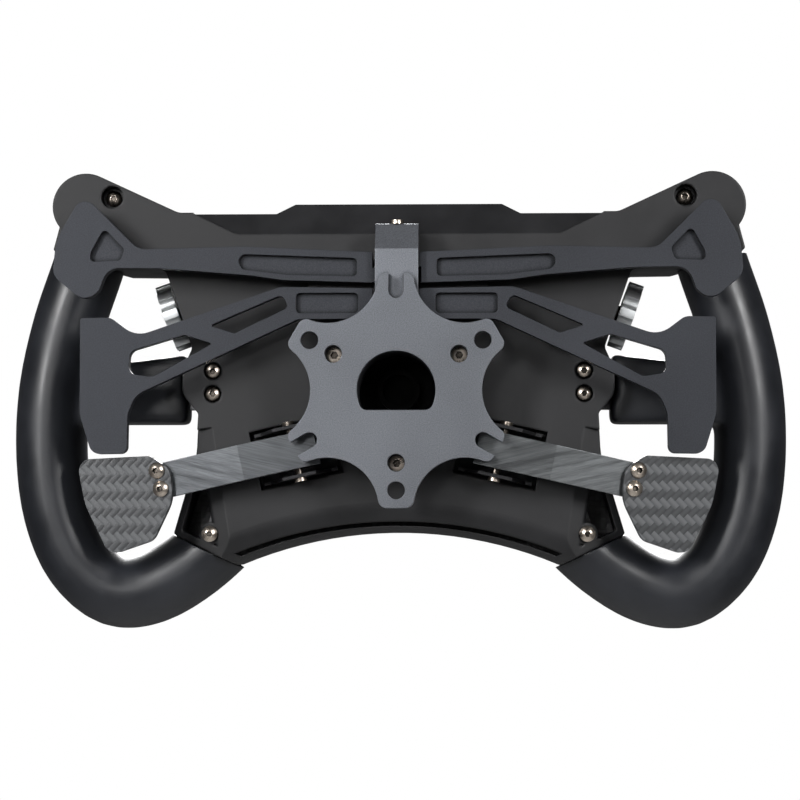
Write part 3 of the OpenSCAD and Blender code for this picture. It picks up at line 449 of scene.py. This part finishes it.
def cut_end(obj, near, point, outward, soften):
    """Cuts the part of a piece near a place with a plane, closes the cut and softens its rim."""
    pick(obj, near)
    bpy.ops.mesh.bisect(plane_co=point, plane_no=outward, use_fill=True, clear_outer=True)
    done()
    pick(obj, lambda centre: abs((centre - point).dot(outward)) < ON_SEAM)
    bpy.ops.mesh.select_mode(type="EDGE")
    bpy.ops.mesh.region_to_loop()
    bpy.ops.mesh.bevel(offset=soften, segments=3, affect="EDGES", clamp_overlap=True)
    done()


def dress(obj, finish, slot, body, *nodes):
    """Gives a finished piece its material, its body and the CAD nodes that it stands for."""
    obj.data.materials.clear()
    obj.data.materials.append(finishes[finish])
    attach(obj, body)
    if nodes:
        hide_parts(*nodes)


def node_body(node):
    """The moving body that a CAD node belongs to."""
    return frame["nodes"][node]["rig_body"]


def paint(node, finish):
    """A CAD node that keeps its own shape gets its finish."""
    obj = frame["nodes"][node]
    obj.data.materials.clear()
    obj.data.materials.append(finishes[finish])


# ---- Pieces ----


def flat_point(spot):
    """A point on the XZ plane, given in millimetres."""
    return Vector((spot[0], 0, spot[1])) * MM


def mirrored(obj, name):
    """A copy on the wheel's other side, with its own mesh and its faces turned outwards again."""
    other = obj.copy()
    other.data = obj.data.copy()
    other.name = name
    bpy.context.scene.collection.objects.link(other)
    edit(other)
    bpy.ops.transform.resize(value=(-1, 1, 1), center_override=(0, 0, 0))
    bpy.ops.mesh.flip_normals()
    done()
    return other


def along_line(points, steps):
    """Points on a smooth curve through a line's inner points, with the direction at each."""
    made = []
    for i in range(1, len(points) - 2):
        a, b, c, d = (Vector(p) for p in points[i - 1:i + 3])
        square = 2 * a - 5 * b + 4 * c - d
        cube = 3 * b - a - 3 * c + d
        for k in range(steps):
            t = k / steps
            place = 0.5 * (2 * b + (c - a) * t + square * t**2 + cube * t**3)
            heading = (c - a) + 2 * square * t + 3 * cube * t**2
            made.append((place * MM, heading.normalized()))
    return made


def grip_body(name, side):
    """A tube that follows the grip's line."""
    low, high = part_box(side + "_grip")
    depth = high.y - low.y
    middle = (low.y + high.y) / 2
    stations = along_line(GRIP_LINE, STEPS_PER_POINT)
    place, heading = stations[0]
    place = place - heading * GRIP_LEAD * MM
    bpy.ops.mesh.primitive_circle_add(
        vertices=GRIP_SIDES, radius=GRIP_WIDTH / 2 * MM, fill_type="NGON", location=(0, 0, 0),
    )
    obj = bpy.context.object
    obj.name = name
    bpy.ops.object.mode_set(mode="EDIT")
    bpy.ops.mesh.select_all(action="SELECT")
    bpy.ops.transform.resize(value=(1, depth / (GRIP_WIDTH * MM), 1))
    turn = -math.atan2(heading[0], heading[1])
    bpy.ops.transform.rotate(value=turn, orient_axis="Y", center_override=(0, 0, 0))
    here = Vector((place[0], middle, place[1]))
    bpy.ops.transform.translate(value=here)
    for place, heading in stations:
        there = Vector((place[0], middle, place[1]))
        bpy.ops.mesh.extrude_region_move(TRANSFORM_OT_translate={"value": there - here})
        new_turn = -math.atan2(heading[0], heading[1])
        bpy.ops.transform.rotate(value=new_turn - turn, orient_axis="Y", center_override=there)
        here, turn = there, new_turn
    face_outwards()
    return obj


def grip_spoke(name):
    """The block that joins a grip to the shell's ear, drawn flat and pushed through its depth."""
    deselect()
    bpy.ops.mesh.primitive_circle_add(vertices=len(SPOKE_OUTLINE), radius=10 * MM, fill_type="NGON")
    obj = bpy.context.object
    obj.name = name
    for vertex, (x, z) in zip(obj.data.vertices, SPOKE_OUTLINE):
        vertex.co = (x * MM, SPOKE_START * MM, z * MM)
    edit(obj)
    bpy.ops.mesh.extrude_region_move(TRANSFORM_OT_translate={"value": (0, SPOKE_DEPTH * MM, 0)})
    face_outwards()
    modify(
        obj, "BEVEL", width=SPOKE_ROUND * MM, segments=3,
        limit_method="ANGLE", angle_limit=math.radians(50),
    )
    return obj


def cut_at_seam(obj, ends, near):
    """Cuts a grip just short of the seam between two ends; the part on the line's left goes."""
    along = (Vector(ends[1]) - Vector(ends[0])).normalized()
    outward = Vector((-along[1], 0, along[0]))
    cut_end(obj, near, flat_point(ends[0]) - outward * SEAM_GAP * MM, outward, SEAM_RIM * MM)


def clutch_spring(side):
    """A copy of a lever's spring with its own mesh, which takes the CAD spring's place on its body."""
    node = "clutch_spring_" + side
    spring = frame["nodes"][node].copy()
    spring.data = spring.data.copy()
    spring.name = node + "_wire"
    bpy.context.scene.collection.objects.link(spring)
    dress(spring, "spring", "spring_wire", node_body(node), node)
    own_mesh(spring)


class WHEEL_OT_hub(bpy.types.Operator):
    """Finish the hub plate, its spacer, the spine and the paddle block"""

    bl_idname = "wheel.hub"
    bl_label = "Hub"

    def execute(self, context):
        paint("hub_plate", "hub")
        paint("hub_spacer", "spacer")
        paint("paddle_spine", "spine")
        paint("paddle_block", "bracket")
        return {"FINISHED"}


class WHEEL_OT_shell(bpy.types.Operator):
    """Finish the rear shell, the faceplate and what is inside them"""

    bl_idname = "wheel.shell"
    bl_label = "Shell"

    def execute(self, context):
        paint("rear_shell", "shell")
        paint("faceplate", "face")
        paint("data_socket", "socket")
        paint("core_frame", "core")
        for node in ("main_board", "lever_sensors"):
            paint(node, "board")
        for node in ("thumb_encoders", "switch_bodies", "rotary_encoders"):
            paint(node, "component")
        return {"FINISHED"}


class WHEEL_OT_grips(bpy.types.Operator):
    """Model the two rubber grips"""

    bl_idname = "wheel.grips"
    bl_label = "Grips"

    def execute(self, context):
        grip = grip_body("left_grip_rubber", "left")
        spoke = grip_spoke("left_grip_spoke")
        activate(grip)
        spoke.select_set(True)
        bpy.ops.object.join()
        modify(grip, "REMESH", mode="VOXEL", voxel_size=sizes().grip_voxel)
        modify(grip, "SMOOTH", factor=0.5, iterations=12)
        cut_at_seam(grip, SEAM_LOW, lambda centre: centre.x < 97 * MM and centre.z < -20 * MM)
        cut_at_seam(grip, SEAM_HIGH, lambda centre: centre.z > 30 * MM)
        activate(grip)
        bpy.ops.object.shade_smooth_by_angle(angle=math.radians(35))
        other = mirrored(grip, "right_grip_rubber")
        dress(grip, "grip", "grip_rubber", node_body("left_grip"), "left_grip")
        dress(other, "grip", "grip_rubber", node_body("right_grip"), "right_grip")
        return {"FINISHED"}


class WHEEL_OT_screws(bpy.types.Operator):
    """Finish the screws, pins, shafts, springs and magnets"""

    bl_idname = "wheel.screws"
    bl_label = "Screws and pins"

    def execute(self, context):
        for node in ("shell_screws", "front_screws", "hub_screws", "plate_screws", "spine_screws",
                     "clutch_pad_screws_left", "clutch_pad_screws_right"):
            paint(node, "screw")
        for side in SIDES:
            for kind in ("clutch_pin_", "thumb_shaft_", "rotary_shaft_"):
                paint(kind + side, "screw")
            clutch_spring(side)
            for row in ("upper", "mid"):
                paint(f"{row}_magnet_{side}", "magnet")
        paint("paddle_pin", "screw")
        paint("block_magnets", "magnet")
        return {"FINISHED"}


class WHEEL_OT_paddles(bpy.types.Operator):
    """Finish the four gear paddles"""

    bl_idname = "wheel.paddles"
    bl_label = "Gear paddles"

    def execute(self, context):
        for row in ("upper", "mid"):
            for side in SIDES:
                paint(f"{row}_paddle_{side}", "paddle")
        return {"FINISHED"}


class WHEEL_OT_clutch(bpy.types.Operator):
    """Finish the clutch levers, their carbon pads and their brackets"""

    bl_idname = "wheel.clutch"
    bl_label = "Clutch levers"

    def execute(self, context):
        for side in SIDES:
            paint("clutch_arm_" + side, "arm_" + side)
            paint("clutch_pad_" + side, "pad")
            paint("clutch_bracket_" + side, "bracket")
        return {"FINISHED"}


class WHEEL_OT_controls(bpy.types.Operator):
    """Finish the thumb wheels, push buttons and rotary knobs"""

    bl_idname = "wheel.controls"
    bl_label = "Controls"

    def execute(self, context):
        for side in SIDES:
            paint("thumb_wheel_" + side, "thumb")
            paint("rotary_knob_" + side, "bracket")
            for number in range(1, BUTTONS_PER_SIDE + 1):
                paint(f"button_{number}_{side}", "button")
        paint("button_bezels", "shell")
        return {"FINISHED"}


# ---- Stage ----


def soft_light(name, place, target, width, height, power):
    """A white rectangular light that is aimed at a point."""
    bpy.ops.object.light_add(type="AREA", location=place)
    lamp = bpy.context.object
    lamp.name = name
    lamp.rotation_euler = (Vector(target) - Vector(place)).to_track_quat("-Z", "Y").to_euler()
    lamp.data.shape = "RECTANGLE"
    lamp.data.size = width
    lamp.data.size_y = height
    lamp.data.energy = power
    lamp.data.spread = LIGHT_SPREAD


class WHEEL_OT_stage(bpy.types.Operator):
    """Make the floor, the lights and the camera"""

    bl_idname = "wheel.stage"
    bl_label = "Stage"

    def execute(self, context):
        deselect()
        bpy.ops.mesh.primitive_circle_add(
            vertices=96, radius=3, fill_type="NGON", location=(0, 0, FLOOR_LEVEL),
        )
        floor = bpy.context.object
        floor.name = "floor"
        f = Finish("floor_pale", (0.85, 0.85, 0.85), roughness=0.7)
        speck = f.noise(30, 3)
        seen = f.add("LightPath").outputs["Is Camera Ray"]
        floor.data.materials.append(f.finish(**{
            "Roughness": f.ramp(speck, 0.65, 0.75),
            "Emission Color": (0.9, 0.9, 0.9, 1),
            "Emission Strength": f.math("MULTIPLY", seen, FLOOR_GLOW),
        }))

        world = bpy.data.worlds.new("studio")
        context.scene.world = world
        world.use_nodes = True
        tree = world.node_tree
        background = tree.nodes["Background"]
        background.inputs["Color"].default_value = (1, 1, 1, 1)
        path = tree.nodes.new("ShaderNodeLightPath")
        level = tree.nodes.new("ShaderNodeMapRange")
        level.inputs["To Min"].default_value = WORLD_LEVEL
        level.inputs["To Max"].default_value = 1.0
        tree.links.new(path.outputs["Is Camera Ray"], level.inputs["Value"])
        tree.links.new(level.outputs[0], background.inputs["Strength"])

        for light in LIGHTS:
            soft_light(*light)

        bpy.ops.object.camera_add(location=CAMERA_PLACE)
        camera = bpy.context.object
        camera.name = "camera"
        aim = Vector(CAMERA_AIM) - camera.location
        camera.rotation_euler = aim.to_track_quat("-Z", "Y").to_euler()
        camera.data.sensor_width = SENSOR_WIDTH
        camera.data.lens = CAMERA_LENS
        camera.data.clip_start = 0.05
        context.scene.camera = camera
        context.scene.view_settings.view_transform = "Standard"
        return {"FINISHED"}


class WHEEL_PT_panel(bpy.types.Panel):
    """The sizes, the colours and a button for each step"""

    bl_label = "Racing wheel"
    bl_idname = "WHEEL_PT_panel"
    bl_space_type = "VIEW_3D"
    bl_region_type = "UI"
    bl_category = "Racing wheel"

    def draw(self, context):
        layout = self.layout
        for group in (context.scene.wheel_sizes, context.scene.wheel_colours):
            for name in group.bl_rna.properties.keys():
                if name not in ("rna_type", "name"):
                    layout.prop(group, name)
        for operator in OPERATORS:
            layout.operator(operator.bl_idname)


OPERATORS = (
    WHEEL_OT_stage, WHEEL_OT_hub, WHEEL_OT_shell, WHEEL_OT_grips, WHEEL_OT_screws, WHEEL_OT_paddles,
    WHEEL_OT_clutch, WHEEL_OT_controls,
)
CLASSES = (WheelSizes, WheelColours, *OPERATORS, WHEEL_PT_panel)


def register():
    for cls in CLASSES:
        bpy.utils.register_class(cls)
    bpy.types.Scene.wheel_sizes = bpy.props.PointerProperty(type=WheelSizes)
    bpy.types.Scene.wheel_colours = bpy.props.PointerProperty(type=WheelColours)


def unregister():
    del bpy.types.Scene.wheel_colours
    del bpy.types.Scene.wheel_sizes
    for cls in reversed(CLASSES):
        bpy.utils.unregister_class(cls)


def main():
    register()
    finishes.update(make_finishes())
    bpy.ops.wheel.stage()
    bpy.ops.wheel.hub()
    bpy.ops.wheel.shell()
    bpy.ops.wheel.grips()
    bpy.ops.wheel.screws()
    bpy.ops.wheel.paddles()
    bpy.ops.wheel.clutch()
    bpy.ops.wheel.controls()
    deselect()


if __name__ == "__main__":
    main()
